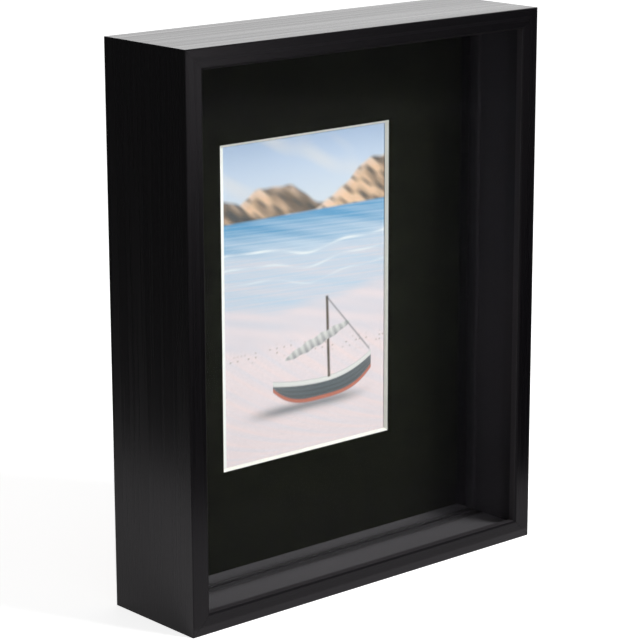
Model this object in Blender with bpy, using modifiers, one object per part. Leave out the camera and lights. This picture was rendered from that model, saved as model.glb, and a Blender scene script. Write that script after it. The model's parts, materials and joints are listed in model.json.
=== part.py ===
"""A deep box picture frame (a shadow box) that stands on its bottom rail or hangs on a wall.

Four mitred rails carry a pane of glass behind a narrow front lip. Two stacked inner frames, the spacer
and the fillet, hold the pane forward and the bevelled mount board back, so keepsakes fit in between.
The print, its backing card and the back board follow, and four turn buttons on the back board reach
into a groove in the side rails to lock it. Two ring hangers take the frame upright or on its side.

Lengths are in metres. X runs to the right as seen from the front, Y to the back and Z up. The origin is
on the surface the frame stands on, under the middle of it.
"""

import math

import bmesh
import bpy
from mathutils import Matrix, Vector

MM = 0.001

# The sheets: glass, mount, card and back board are all cut to one size.
SHEET_WIDTH = 200 * MM
SHEET_HEIGHT = 250 * MM
SHEET_PLAY = 0.5 * MM  # gap between a sheet's edge and the rails

# The moulding that the rails are sawn from.
WALL_THICKNESS = 4.5 * MM
LIP_OVERHANG = 4.9 * MM  # how far the lip stands in over the glass
LIP_THICKNESS = 4.0 * MM
LIP_CHAMFER = 0.8 * MM
EDGE_RADIUS = 0.5 * MM  # the foil is wrapped round edges eased to this
EDGE_STEPS = 3
MITRE_GAP = 0.1 * MM  # the glue line of a mitre

# Layers behind the lip, from the front to the back.
LAYER_GAP = 0.3 * MM
GLASS_THICKNESS = 2.0 * MM
SPACER_DEPTH = 25.1 * MM
FILLET_DEPTH = 12.5 * MM
MOUNT_THICKNESS = 1.5 * MM
PRINT_THICKNESS = 0.3 * MM
CARD_THICKNESS = 1.0 * MM
BOARD_THICKNESS = 2.5 * MM
BACK_RECESS = 5.5 * MM  # from the back board to the rails' rear edge

# The inner strips.
STRIP_THICKNESS = 2.2 * MM
STRIP_GAP = 0.3 * MM  # from a strip to the rail beside it, and between two strips
STRIP_CHAMFER = 0.6 * MM  # on the edges where spacer and fillet meet

# The mount's window and the print behind it.
WINDOW_WIDTH = 100.0 * MM
WINDOW_HEIGHT = 150.0 * MM
WINDOW_RAISE = 1.0 * MM  # the window sits this far above the middle
PRINT_WIDTH = 101.6 * MM
PRINT_HEIGHT = 152.4 * MM
GLASS_ARRIS = 0.25 * MM

# Corner nails: a folded steel V across each mitre, driven in from the back.
NAIL_LEG = 3.6 * MM
NAIL_THICKNESS = 0.5 * MM
NAIL_HEIGHT = 3.5 * MM
NAIL_INSET = 1.4 * MM  # from the rail's outer face
NAIL_SINK = 0.2 * MM
NAIL_GAP = 0.2 * MM

# Turn buttons on the back board, two beside each long edge.
BUTTON_THICKNESS = 0.8 * MM
BUTTON_WIDTH = 9.0 * MM
BUTTON_TAIL = 7.0 * MM  # pivot to the thumb tab
BUTTON_PIVOT_INSET = 12.0 * MM  # pivot to the rail's inner face
BUTTON_REACH = 1.8 * MM  # how far the tip enters the groove
BUTTON_SPREAD = 125.0 * MM  # between the upper and the lower buttons
TAB_HEIGHT = 2.6 * MM
GROOVE_DEPTH = 2.2 * MM
ROUND_STEPS = 12  # facets of a half turn

# Rivets.
RIVET_RADIUS = 1.45 * MM
RIVET_CLEARANCE = 0.3 * MM
RIVET_HEAD_RADIUS = 2.6 * MM
RIVET_HEAD_HEIGHT = 1.1 * MM
RIVET_TURN_STEPS = 24

# Ring hangers: a strip folded round a wire D.
STRAP_WIDTH = 8.0 * MM
STRAP_SHEET = 0.8 * MM
STRAP_TAIL = 8.4 * MM  # ring axis to the strap's end
STRAP_RIVET_OFFSET = 4.9 * MM  # ring axis to the rivet
WIRE_RADIUS = 0.9 * MM
WIRE_CLEARANCE = 0.3 * MM
RING_WIDTH = 12.0 * MM  # between the centres of the wire
RING_LENGTH = 12.0 * MM
RING_CORNER = 1.5 * MM
HANGER_INSET = 22.0 * MM  # ring axis to the board's edge

# Derived sizes.
CAVITY_WIDTH = SHEET_WIDTH + 2 * SHEET_PLAY
CAVITY_HEIGHT = SHEET_HEIGHT + 2 * SHEET_PLAY
FRAME_WIDTH = CAVITY_WIDTH + 2 * WALL_THICKNESS
FRAME_HEIGHT = CAVITY_HEIGHT + 2 * WALL_THICKNESS
WINDOW_HEIGHT_ABOVE_BASE = FRAME_HEIGHT / 2 + WINDOW_RAISE

# Where each layer's front face lies, measured back from the frame's front.
GLASS_AT = LIP_THICKNESS + LAYER_GAP
SPACER_AT = GLASS_AT + GLASS_THICKNESS + LAYER_GAP
FILLET_AT = SPACER_AT + SPACER_DEPTH + LAYER_GAP
MOUNT_AT = FILLET_AT + FILLET_DEPTH + LAYER_GAP
PRINT_AT = MOUNT_AT + MOUNT_THICKNESS + LAYER_GAP
CARD_AT = PRINT_AT + PRINT_THICKNESS + LAYER_GAP
BOARD_AT = CARD_AT + CARD_THICKNESS + LAYER_GAP
BOARD_BACK = BOARD_AT + BOARD_THICKNESS
BUTTON_AT = BOARD_BACK + LAYER_GAP
FRAME_DEPTH = BOARD_BACK + BACK_RECESS

# The turn that brings a strip from standing at the left to each side, and the way to that side.
SIDES = {
    "left": (0, Vector((-1, 0, 0))),
    "top": (90, Vector((0, 0, 1))),
    "right": (180, Vector((1, 0, 0))),
    "bottom": (-90, Vector((0, 0, -1))),
}


# --- helpers -------------------------------------------------------------------------------------


def clear_scene():
    for old in list(bpy.data.objects):
        bpy.data.objects.remove(old)


def make_collection(name):
    group = bpy.data.collections.new(name)
    bpy.context.scene.collection.children.link(group)
    return group


def make_material(name, colour, roughness, metallic=0.0, transmission=0.0):
    material = bpy.data.materials.new(name)
    material.use_nodes = True
    shader = material.node_tree.nodes["Principled BSDF"]
    shader.inputs["Base Color"].default_value = (*colour, 1.0)
    shader.inputs["Roughness"].default_value = roughness
    shader.inputs["Metallic"].default_value = metallic
    shader.inputs["Transmission Weight"].default_value = transmission
    material.diffuse_color = (*colour, 1.0)
    return material


def from_front(x, depth, z):
    """A point of the frame, with depth measured back from the front face."""
    return Vector((x, depth - FRAME_DEPTH / 2, z))


def centre_of(side_way, inset):
    """The middle of a side, moved in from the frame's outer face by inset."""
    half = Vector((FRAME_WIDTH / 2, 0, FRAME_HEIGHT / 2))
    middle = from_front(0, 0, FRAME_HEIGHT / 2)
    return middle + Vector(way * (size - inset) for way, size in zip(side_way, half))


def place(mesh_object, name, material, group):
    """Names a new object, gives it its material and moves it to its collection."""
    mesh_object.name = name
    mesh_object.data.name = name
    mesh_object.data.materials.clear()
    mesh_object.data.materials.append(material)
    for old in list(mesh_object.users_collection):
        old.objects.unlink(mesh_object)
    group.objects.link(mesh_object)
    return mesh_object


def make_plate(name, material, group, width, depth, height, centre, arris=0.0):
    """A flat rectangular sheet. arris eases its edges."""
    bpy.ops.mesh.primitive_cube_add(size=1)
    plate = place(bpy.context.object, name, material, group)
    plate.data.transform(Matrix.Diagonal((width, depth, height, 1)))
    plate.location = centre
    if arris:
        bevel = plate.modifiers.new("Arris", "BEVEL")
        bevel.width = arris
        bevel.segments = 1
    return plate


def mesh_from(maker):
    """The mesh of a curve object, with its caps welded, in place of the curve."""
    bpy.context.view_layer.update()
    evaluated = maker.evaluated_get(bpy.context.evaluated_depsgraph_get())
    mesh = bpy.data.meshes.new_from_object(evaluated)
    bpy.data.objects.remove(maker)
    body = bmesh.new()
    body.from_mesh(mesh)
    bmesh.ops.remove_doubles(body, verts=body.verts, dist=0.001 * MM)
    bmesh.ops.recalc_face_normals(body, faces=body.faces)
    body.to_mesh(mesh)
    body.free()
    return mesh


def extrude_outlines(outlines, thickness):
    """A mesh with these outlines in its local XY plane and this thickness along its local Z.

    The first outline is the outer one, and any others are holes in it.
    """
    curve = bpy.data.curves.new("outline", "CURVE")
    curve.dimensions = "2D"
    curve.fill_mode = "BOTH"
    curve.extrude = thickness / 2
    for outline in outlines:
        spline = curve.splines.new("POLY")
        spline.points.add(len(outline) - 1)
        for point, (x, y) in zip(spline.points, outline):
            point.co = (x, y, 0, 1)
        spline.use_cyclic_u = True
    maker = bpy.data.objects.new("outline", curve)
    bpy.context.scene.collection.objects.link(maker)
    return mesh_from(maker)


def arc(centre_x, centre_y, radius, start, end, steps):
    """Points along an arc, with its angles in degrees."""
    angles = [math.radians(start + (end - start) * i / steps) for i in range(steps + 1)]
    return [(centre_x + radius * math.cos(a), centre_y + radius * math.sin(a)) for a in angles]


def circle(centre_x, centre_y, radius):
    return arc(centre_x, centre_y, radius, 0, 360, 2 * ROUND_STEPS)[:-1]


def add_mesh(name, mesh, material, group, matrix):
    part = bpy.data.objects.new(name, mesh)
    bpy.context.scene.collection.objects.link(part)
    part.matrix_world = matrix
    return place(part, name, material, group)


def saw_mitres(mesh, length):
    """Saws both ends of a strip at 45 degrees. Its outer face, at local X = 0, keeps the full length."""
    body = bmesh.new()
    body.from_mesh(mesh)
    for end in (-1, 1):
        cut = bmesh.ops.bisect_plane(
            body,
            geom=body.verts[:] + body.edges[:] + body.faces[:],
            plane_co=(-MITRE_GAP / math.sqrt(2), 0, end * length / 2),
            plane_no=(1, 0, end),
            clear_outer=True,
        )
        rim = [item for item in cut["geom_cut"] if isinstance(item, bmesh.types.BMEdge)]
        bmesh.ops.contextual_create(body, geom=rim)
    bmesh.ops.recalc_face_normals(body, faces=body.faces)
    body.to_mesh(mesh)
    body.free()


def cut_away(part, cutter):
    """Cuts a helper solid out of a part. The helper stays in the cutters' collection."""
    cutter.hide_render = True
    cutter.display_type = "WIRE"
    boolean = part.modifiers.new("Cut " + cutter.name, "BOOLEAN")
    boolean.operation = "DIFFERENCE"
    boolean.object = cutter


def make_drill(name, radius, length, centre, group, material):
    """A cylinder along Y, for cutting a hole."""
    bpy.ops.mesh.primitive_cylinder_add(radius=radius, depth=length, vertices=2 * ROUND_STEPS)
    drill = place(bpy.context.object, name, material, group)
    drill.matrix_world = Matrix.Translation(centre) @ Matrix.Rotation(math.radians(90), 4, "X")
    return drill


def side_matrix(side, inset):
    """Turns a strip that is modelled at the left, with X inwards and Y back, to a side of the frame."""
    angle, way = SIDES[side]
    return Matrix.Translation(centre_of(way, inset)) @ Matrix.Rotation(math.radians(angle), 4, "Y")


# --- the frame -----------------------------------------------------------------------------------


def moulding_outline():
    """The moulding's section: X runs in from the outer face, Y back from the front face."""
    lip_edge = WALL_THICKNESS + LIP_OVERHANG
    groove_floor = WALL_THICKNESS - GROOVE_DEPTH
    groove_front = BUTTON_AT - LAYER_GAP
    groove_back = BUTTON_AT + BUTTON_THICKNESS + LAYER_GAP
    radius = EDGE_RADIUS
    return [
        *arc(radius, radius, radius, 180, 270, EDGE_STEPS),
        (lip_edge - LIP_CHAMFER, 0),
        (lip_edge, LIP_CHAMFER),
        (lip_edge, LIP_THICKNESS),
        (WALL_THICKNESS, LIP_THICKNESS),
        (WALL_THICKNESS, groove_front),
        (groove_floor, groove_front),
        (groove_floor, groove_back),
        (WALL_THICKNESS, groove_back),
        (WALL_THICKNESS, FRAME_DEPTH),
        *arc(radius, FRAME_DEPTH - radius, radius, 90, 180, EDGE_STEPS),
    ]


def nail_outline(grow):
    """A corner nail seen from behind: two legs from an apex near the frame's corner, grown all round."""
    near = NAIL_INSET - grow
    inner = NAIL_INSET + NAIL_THICKNESS + grow
    far = NAIL_INSET + NAIL_LEG + grow
    return [(near, near), (far, near), (far, inner), (inner, inner), (inner, far), (near, far)]


def build_nails(group, cutters, steel):
    """The four corner nails, and the pocket that each is driven into. Returns the pockets by corner."""
    pockets = {}
    for vertical, up in (("top", 1), ("bottom", -1)):
        for horizontal, right in (("left", -1), ("right", 1)):
            corner = f"{vertical}_{horizontal}"
            # Local X and Y run from the corner along the two rails, and local Z runs front to back.
            axes = Matrix(((-right, 0, 0), (0, 0, 1), (0, -up, 0))).to_4x4()
            nail_middle = FRAME_DEPTH - NAIL_SINK - NAIL_HEIGHT / 2
            pocket_depth = NAIL_SINK + NAIL_HEIGHT + NAIL_GAP
            edge = (right * FRAME_WIDTH / 2, FRAME_HEIGHT * (up > 0))
            nail_at = Matrix.Translation(from_front(edge[0], nail_middle, edge[1])) @ axes
            pocket_at = Matrix.Translation(from_front(edge[0], FRAME_DEPTH, edge[1])) @ axes
            nail = extrude_outlines([nail_outline(0)], NAIL_HEIGHT)
            pocket = extrude_outlines([nail_outline(NAIL_GAP)], 2 * pocket_depth)
            for mesh, matrix in ((nail, nail_at), (pocket, pocket_at)):
                if axes.determinant() < 0:
                    mesh.flip_normals()
                mesh.transform(matrix)
            add_mesh(f"corner_nail_{corner}", nail, steel, group, Matrix.Identity(4))
            pockets[corner] = add_mesh(f"pocket_{corner}", pocket, steel, cutters, Matrix.Identity(4))
    return pockets


def build_rails(group, pockets, foil):
    for side in SIDES:
        length = FRAME_WIDTH if side in ("top", "bottom") else FRAME_HEIGHT
        mesh = extrude_outlines([moulding_outline()], length + 2 * MM)
        saw_mitres(mesh, length)
        rail = add_mesh(f"rail_{side}", mesh, foil, group, side_matrix(side, 0))
        for corner, pocket in pockets.items():
            if side in corner:
                cut_away(rail, pocket)


# --- what the rails hold -------------------------------------------------------------------------


def strip_outline(depth, chamfer_front):
    """An inner strip's section, with its one inner edge chamfered where it meets the next strip."""
    if chamfer_front:
        corners = [(STRIP_THICKNESS - STRIP_CHAMFER, 0), (STRIP_THICKNESS, STRIP_CHAMFER)]
        corners += [(STRIP_THICKNESS, depth)]
    else:
        corners = [(STRIP_THICKNESS, 0), (STRIP_THICKNESS, depth - STRIP_CHAMFER)]
        corners += [(STRIP_THICKNESS - STRIP_CHAMFER, depth)]
    return [(0, 0), *corners, (0, depth)]


def build_strips(name, group, foil, start, depth, chamfer_front):
    """Four strips inside the rails: two across the full width, and two standing between them."""
    inset = WALL_THICKNESS + STRIP_GAP
    for side in SIDES:
        if side in ("top", "bottom"):
            length = FRAME_WIDTH - 2 * inset
        else:
            length = FRAME_HEIGHT - 2 * (inset + STRIP_THICKNESS + STRIP_GAP)
        mesh = extrude_outlines([strip_outline(depth, chamfer_front)], length)
        at = Matrix.Translation((0, start, 0)) @ side_matrix(side, inset)
        add_mesh(f"{name}_{side}", mesh, foil, group, at)


def build_mount(group, cutters, board):
    """The mount board. Its window is cut with the knife held at 45 degrees, so it widens to the front."""
    middle = from_front(0, MOUNT_AT + MOUNT_THICKNESS / 2, FRAME_HEIGHT / 2)
    mount = make_plate(
        "mount_board", board, group, SHEET_WIDTH, MOUNT_THICKNESS, SHEET_HEIGHT, middle
    )
    overrun = MOUNT_THICKNESS
    length = MOUNT_THICKNESS + 2 * overrun
    window = make_plate("window_cutter", board, cutters, 1, length, 1, (0, 0, 0))
    for corner in window.data.vertices:
        grow = MOUNT_THICKNESS + overrun if corner.co.y < 0 else -overrun
        corner.co.x *= WINDOW_WIDTH + 2 * grow
        corner.co.z *= WINDOW_HEIGHT + 2 * grow
    window.location = middle + Vector((0, 0, WINDOW_RAISE))
    cut_away(mount, window)


def build_sheets(group, glass, paper, card):
    """The flat sheets that need no cutting: the pane, the print and the card behind it."""
    middle = FRAME_HEIGHT / 2
    for name, material, width, height, at, thickness, z, arris in (
        ("glass_pane", glass, SHEET_WIDTH, SHEET_HEIGHT, GLASS_AT, GLASS_THICKNESS, middle, GLASS_ARRIS),
        ("photo_print", paper, PRINT_WIDTH, PRINT_HEIGHT, PRINT_AT, PRINT_THICKNESS,
         WINDOW_HEIGHT_ABOVE_BASE, 0),
        ("backing_card", card, SHEET_WIDTH, SHEET_HEIGHT, CARD_AT, CARD_THICKNESS, middle, 0),
    ):
        centre = from_front(0, at + thickness / 2, z)
        make_plate(name, material, group, width, thickness, height, centre, arris)


# --- the back ------------------------------------------------------------------------------------


def make_rivet(name, group, steel, foot, head_seat):
    """A domed rivet along Y. foot is its front end, and head_seat the depth that its head sits at."""
    base_x, base_depth, base_z = foot
    shank = head_seat - base_depth
    dome = arc(0, shank, 1, 0, 90, ROUND_STEPS // 2)
    profile = [
        (radius * RIVET_HEAD_RADIUS, shank + (height - shank) * RIVET_HEAD_HEIGHT)
        for radius, height in reversed(dome)
    ]
    profile[0] = (0, shank + RIVET_HEAD_HEIGHT)
    profile += [(RIVET_RADIUS, shank), (RIVET_RADIUS, 0), (0, 0)]
    mesh = bpy.data.meshes.new(name)
    edges = [(i, i + 1) for i in range(len(profile) - 1)]
    mesh.from_pydata([(radius, 0, height) for radius, height in profile], edges, [])
    # Local Z runs to the back.
    turn = Matrix.Rotation(math.radians(-90), 4, "X")
    at = Matrix.Translation(from_front(base_x, base_depth, base_z)) @ turn
    rivet = add_mesh(name, mesh, steel, group, at)
    screw = rivet.modifiers.new("Turn", "SCREW")
    screw.axis = "Z"
    screw.steps = RIVET_TURN_STEPS
    screw.render_steps = RIVET_TURN_STEPS
    screw.use_merge_vertices = True
    screw.merge_threshold = 0.00001
    return rivet


def button_mesh():
    """A stamped turn button, with its tip along local X and its pivot at the origin.

    Its thickness runs along local Z, and a thumb tab stands up at its tail.
    """
    half = BUTTON_WIDTH / 2
    tip_centre = BUTTON_PIVOT_INSET + BUTTON_REACH - half
    corner = half / 2
    outline = [
        *arc(tip_centre, 0, half, -90, 90, ROUND_STEPS),
        *arc(corner - BUTTON_TAIL, half - corner, corner, 90, 180, EDGE_STEPS),
        *arc(corner - BUTTON_TAIL, corner - half, corner, 180, 270, EDGE_STEPS),
    ]
    hole = circle(0, 0, RIVET_RADIUS + RIVET_CLEARANCE)
    return extrude_outlines([outline, hole], BUTTON_THICKNESS)


def add_thumb_tab(button, group, cutters, steel):
    """Joins the bent-up tab to a button's tail."""
    width = BUTTON_WIDTH / 2
    height = TAB_HEIGHT + BUTTON_THICKNESS
    tab = make_plate("tab_" + button.name, steel, cutters, BUTTON_THICKNESS, width, height, (0, 0, 0))
    tab.data.transform(Matrix.Translation((BUTTON_THICKNESS / 2 - BUTTON_TAIL, 0, TAB_HEIGHT / 2)))
    tab.matrix_world = button.matrix_world
    tab.hide_render = True
    tab.display_type = "WIRE"
    union = button.modifiers.new("Thumb tab", "BOOLEAN")
    union.operation = "UNION"
    union.object = tab


def build_buttons(group, cutters, steel):
    """Turn buttons and their rivets. Returns the rivet places, for the board's holes."""
    places = []
    for side, right in (("left", -1), ("right", 1)):
        for level, up in (("upper", 1), ("lower", -1)):
            x = right * (CAVITY_WIDTH / 2 - BUTTON_PIVOT_INSET)
            z = FRAME_HEIGHT / 2 + up * BUTTON_SPREAD / 2
            # Local X points to the side rail and local Z to the back.
            axes = Matrix(((right, 0, 0), (0, 0, 1), (0, right, 0))).to_4x4()
            centre = from_front(x, BUTTON_AT + BUTTON_THICKNESS / 2, z)
            name = f"turn_button_{level}_{side}"
            mesh = button_mesh()
            button = add_mesh(name, mesh, steel, group, Matrix.Translation(centre) @ axes)
            add_thumb_tab(button, group, cutters, steel)
            head_seat = BUTTON_AT + BUTTON_THICKNESS + LAYER_GAP
            make_rivet(f"button_rivet_{level}_{side}", group, steel, (x, BOARD_AT, z), head_seat)
            places.append((x, z))
    return places


def strap_mesh():
    """A strip folded round the ring's straight side, seen from its edge.

    The ring's axis is local Z. Local X runs from the axis to the strap's tail, and local Y from the
    board outwards, with the strap's underside at Y = 0.
    """
    bore = WIRE_RADIUS + WIRE_CLEARANCE
    outer = bore + STRAP_SHEET
    leaves = 2 * STRAP_SHEET
    meet = math.degrees(math.asin((leaves - outer) / outer))
    loop = arc(0, outer, outer, 270, meet, 2 * ROUND_STEPS)
    outline = [*loop, (STRAP_TAIL, leaves), (STRAP_TAIL, 0)]
    return extrude_outlines([outline, circle(0, outer, bore)], STRAP_WIDTH)


def ring_mesh():
    """A wire D. Its straight side lies on local Z, and its bow hangs towards local X."""
    half = RING_WIDTH / 2
    corner = RING_CORNER
    bow_centre = RING_LENGTH - half
    path = [
        *arc(corner, corner - half, corner, 180, 270, EDGE_STEPS),
        *arc(bow_centre, 0, half, -90, 90, ROUND_STEPS),
        *arc(corner, half - corner, corner, 90, 180, EDGE_STEPS),
    ]
    curve = bpy.data.curves.new("wire", "CURVE")
    curve.dimensions = "3D"
    curve.bevel_depth = WIRE_RADIUS
    curve.bevel_resolution = 2
    spline = curve.splines.new("POLY")
    spline.points.add(len(path) - 1)
    for point, (x, z) in zip(spline.points, path):
        point.co = (x, 0, z, 1)
    spline.use_cyclic_u = True
    maker = bpy.data.objects.new("wire", curve)
    bpy.context.scene.collection.objects.link(maker)
    return mesh_from(maker)


def build_hangers(group, cutters, steel):
    """A ring hanger for each way up. Returns the rivet places, for the board's holes."""
    places = []
    loop_radius = WIRE_RADIUS + WIRE_CLEARANCE + STRAP_SHEET
    for way_up, edge, tail, turn in (
        ("portrait", Vector((0, 0, 1)), Vector((0, 0, -1)), ((0, 0, -1), (0, 1, 0), (-1, 0, 0))),
        ("landscape", Vector((1, 0, 0)), Vector((-1, 0, 0)), ((-1, 0, 0), (0, 1, 0), (0, 0, -1))),
    ):
        half = Vector((SHEET_WIDTH / 2, 0, SHEET_HEIGHT / 2))
        centre = from_front(0, BUTTON_AT, FRAME_HEIGHT / 2)
        axis_at = centre + Vector(way * (size - HANGER_INSET) for way, size in zip(edge, half))
        axes = Matrix(turn).to_4x4()
        axes.transpose()
        strap_at = Matrix.Translation(axis_at) @ axes
        ring_at = strap_at @ Matrix.Translation((0, loop_radius, 0))
        strap = add_mesh(f"hanger_strap_{way_up}", strap_mesh(), steel, group, strap_at)
        add_mesh(f"hanger_ring_{way_up}", ring_mesh(), steel, group, ring_at)
        rivet_at = axis_at + tail * STRAP_RIVET_OFFSET
        hole_radius = RIVET_RADIUS + RIVET_CLEARANCE
        drill = make_drill(
            f"drill_{way_up}", hole_radius, 8 * STRAP_SHEET, rivet_at, cutters, steel
        )
        cut_away(strap, drill)
        head_seat = BUTTON_AT + 2 * STRAP_SHEET + LAYER_GAP
        foot = (rivet_at.x, BOARD_AT, rivet_at.z)
        make_rivet(f"hanger_rivet_{way_up}", group, steel, foot, head_seat)
        places.append((rivet_at.x, rivet_at.z))
    return places


def build_back_board(group, cutters, board, rivet_places):
    centre = from_front(0, BOARD_AT + BOARD_THICKNESS / 2, FRAME_HEIGHT / 2)
    panel = make_plate("back_board", board, group, SHEET_WIDTH, BOARD_THICKNESS, SHEET_HEIGHT, centre)
    for number, (x, z) in enumerate(rivet_places):
        hole_at = from_front(x, BOARD_AT + BOARD_THICKNESS / 2, z)
        drill = make_drill(
            f"board_drill_{number}",
            RIVET_RADIUS + RIVET_CLEARANCE,
            3 * BOARD_THICKNESS,
            hole_at,
            cutters,
            board,
        )
        cut_away(panel, drill)


def main():
    clear_scene()
    group = make_collection("shadow_box")
    cutters = make_collection("cutters")
    foil = make_material("black foil on fibreboard", (0.012, 0.011, 0.012), 0.35)
    glass = make_material("float glass", (0.95, 0.97, 0.96), 0.02, transmission=1.0)
    mount = make_material("black mount board", (0.010, 0.011, 0.008), 0.9)
    paper = make_material("photo paper", (0.80, 0.84, 0.88), 0.35)
    card = make_material("grey backing card", (0.55, 0.52, 0.47), 0.9)
    hardboard = make_material("brown hardboard", (0.22, 0.13, 0.07), 0.75)
    steel = make_material("zinc-plated steel", (0.62, 0.63, 0.65), 0.3, metallic=1.0)

    pockets = build_nails(group, cutters, steel)
    build_rails(group, pockets, foil)
    build_sheets(group, glass, paper, card)
    build_strips("spacer", group, foil, SPACER_AT, SPACER_DEPTH, chamfer_front=False)
    build_strips("fillet", group, foil, FILLET_AT, FILLET_DEPTH, chamfer_front=True)
    build_mount(group, cutters, mount)
    places = build_buttons(group, cutters, steel) + build_hangers(group, cutters, steel)
    build_back_board(group, cutters, hardboard, places)
    for part in group.objects:
        part.data.shade_smooth()
        part.data.set_sharp_from_angle(angle=math.radians(30))


main()
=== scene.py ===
"""Finishes, print, fittings and studio for a deep box picture frame.

The frame's solids are loaded first and keep their places. Each operator below dresses one group of
pieces, and the stage operator adds the floor, lamps and camera. All lengths are in metres.
"""

import json
import math

import bpy
import numpy as np
from bpy.props import FloatProperty, FloatVectorProperty, IntProperty, PointerProperty
from mathutils import Matrix, Vector


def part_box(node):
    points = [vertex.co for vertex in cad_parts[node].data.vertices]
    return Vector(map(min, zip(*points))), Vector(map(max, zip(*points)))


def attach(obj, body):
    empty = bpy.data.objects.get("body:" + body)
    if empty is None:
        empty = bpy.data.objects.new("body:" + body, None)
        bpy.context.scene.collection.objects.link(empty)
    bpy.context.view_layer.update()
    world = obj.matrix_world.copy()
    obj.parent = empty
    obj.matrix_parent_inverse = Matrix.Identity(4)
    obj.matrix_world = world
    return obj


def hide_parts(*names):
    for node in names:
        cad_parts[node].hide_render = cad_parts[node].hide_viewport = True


bl_info = {
    "name": "Shadow Box Finish",
    "version": (1, 0, 0),
    "blender": (4, 5, 0),
    "location": "View3D > Sidebar > Shadow Box",
    "description": "Finishes, print, fittings and studio for a deep box picture frame",
    "category": "Object",
}

MM = 0.001
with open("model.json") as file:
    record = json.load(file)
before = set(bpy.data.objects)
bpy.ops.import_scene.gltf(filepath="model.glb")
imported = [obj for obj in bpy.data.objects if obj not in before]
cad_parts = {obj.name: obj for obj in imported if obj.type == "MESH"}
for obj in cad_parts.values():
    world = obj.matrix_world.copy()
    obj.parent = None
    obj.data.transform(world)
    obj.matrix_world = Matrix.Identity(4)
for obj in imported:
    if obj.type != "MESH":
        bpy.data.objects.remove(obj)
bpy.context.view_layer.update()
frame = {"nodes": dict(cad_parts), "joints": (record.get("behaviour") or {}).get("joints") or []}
JOINTS = {joint["child"]: joint for joint in frame["joints"]}

# The rails and strips, as far as their finishes follow them.
HALF_WIDTH, HALF_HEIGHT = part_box("rail_right")[1].x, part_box("rail_top")[1].z / 2
LIP_INNER_EDGE = 9.4 * MM  # from the rail's outer face
LIP_CHAMFER = 0.8 * MM
STRIP_JOINT = (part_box("spacer_bottom")[1].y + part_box("fillet_bottom")[0].y) / 2
FACE_MARGIN = 0.1 * MM  # a mask reaches this far past the face it is for

# The mount and its window.
PLY_GAP = 0.005 * MM
SIDE_LAP = 0.8 * MM  # how far the window's upright edges lap over the print
END_LAP = 1.2 * MM  # and its level ones

# The fittings.
BUTTON_SHEET = 0.8 * MM
BUTTON_HOLE_RADIUS = 1.75 * MM
TAB_STEPS = 9
RIVET_SHANK_RADIUS = 1.45 * MM
RIVET_HEAD_HEIGHT = 1.1 * MM
RING_HALF_WIDTH = 6.0 * MM
RING_CORNER = 1.5 * MM
STRAP_SHEET = 0.8 * MM
GROOVE_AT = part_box("turn_button_upper_left")[0].y + BUTTON_SHEET / 2
GROOVE_HALF = 0.69 * MM  # a hair under half its width, so the wall beside it stays foil


# --- colours, meshes and nodes -------------------------------------------------------------------


def linear(hex_colour):
    """An sRGB hex colour as linear red, green and blue."""
    srgb = np.array([int(hex_colour[i : i + 2], 16) / 255 for i in (1, 3, 5)])
    return tuple(np.where(srgb <= 0.04045, srgb / 12.92, ((srgb + 0.055) / 1.055) ** 2.4).tolist())


def opaque(colour, level=1.0):
    """A linear colour with an alpha of 1, made darker or lighter by level."""
    return (*[min(1, channel * level) for channel in colour], 1)


def new_piece(name, points, faces, materials, smooth_angle=None):
    """A mesh object at the origin from an (n, 3) array of points and lists of faces."""
    mesh = bpy.data.meshes.new(name)
    mesh.from_pydata(points.tolist(), [], [face for group in faces for face in np.asarray(group).tolist()])
    mesh.validate()
    for material in materials:
        mesh.materials.append(material)
    piece = bpy.data.objects.new(name, mesh)
    bpy.context.scene.collection.objects.link(piece)
    if smooth_angle is not None:
        mesh.shade_smooth()
        mesh.set_sharp_from_angle(angle=math.radians(smooth_angle))
    return piece


def grid_faces(rows, columns, wrap_rows=False, wrap_columns=False):
    """The quads of a grid of points stored row by row.

    A wrapped direction joins its last line to its first.
    """
    row = np.arange(rows if wrap_rows else rows - 1)[:, None]
    column = np.arange(columns if wrap_columns else columns - 1)[None, :]
    next_row, next_column = (row + 1) % rows, (column + 1) % columns
    corners = [row * columns + column, row * columns + next_column]
    corners += [next_row * columns + next_column, next_row * columns + column]
    return np.stack(np.broadcast_arrays(*corners), axis=-1).reshape(-1, 4)


def face_outwards(points, faces):
    """Turns all faces round if the surface they make is inside out.

    Each face gives a cone to the points' middle, and the cones' signed volumes add up to the body's.
    """
    corners = (points - points.mean(axis=0))[faces]
    a, b, c, d = (corners[:, i] for i in range(4))
    volume = np.einsum("ij,ij->i", a, np.cross(b, c) + np.cross(c, d)).sum()
    return faces[:, ::-1] if volume < 0 else faces


def arc(centre, radius, start, end, steps):
    """Points along an arc, angles in degrees."""
    angle = np.radians(np.linspace(start, end, steps + 1))
    return np.stack([centre[0] + radius * np.cos(angle), centre[1] + radius * np.sin(angle)], axis=1)


def add(tree, kind, inputs=(), **options):
    """A shader node with its settings and links.

    inputs holds a value for each socket, by name or number or in order, or the node or socket that
    feeds it. A node feeds through its first live output.
    """
    node = tree.nodes.new("ShaderNode" + kind)
    for name, value in options.items():
        setattr(node, name, value)
    for socket, value in inputs.items() if isinstance(inputs, dict) else enumerate(inputs):
        if isinstance(value, bpy.types.Node):
            value = next(output for output in value.outputs if output.enabled)
        if isinstance(value, bpy.types.NodeSocket):
            tree.links.new(value, node.inputs[socket])
        else:
            node.inputs[socket].default_value = value
    return node


def new_material(name):
    """A material without nodes, with its tree and the Object coordinates."""
    material = bpy.data.materials.new(name)
    material.use_nodes = True
    material.node_tree.nodes.clear()
    return material, material.node_tree, add(material.node_tree, "TexCoord").outputs["Object"]


# --- settings ------------------------------------------------------------------------------------


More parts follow.
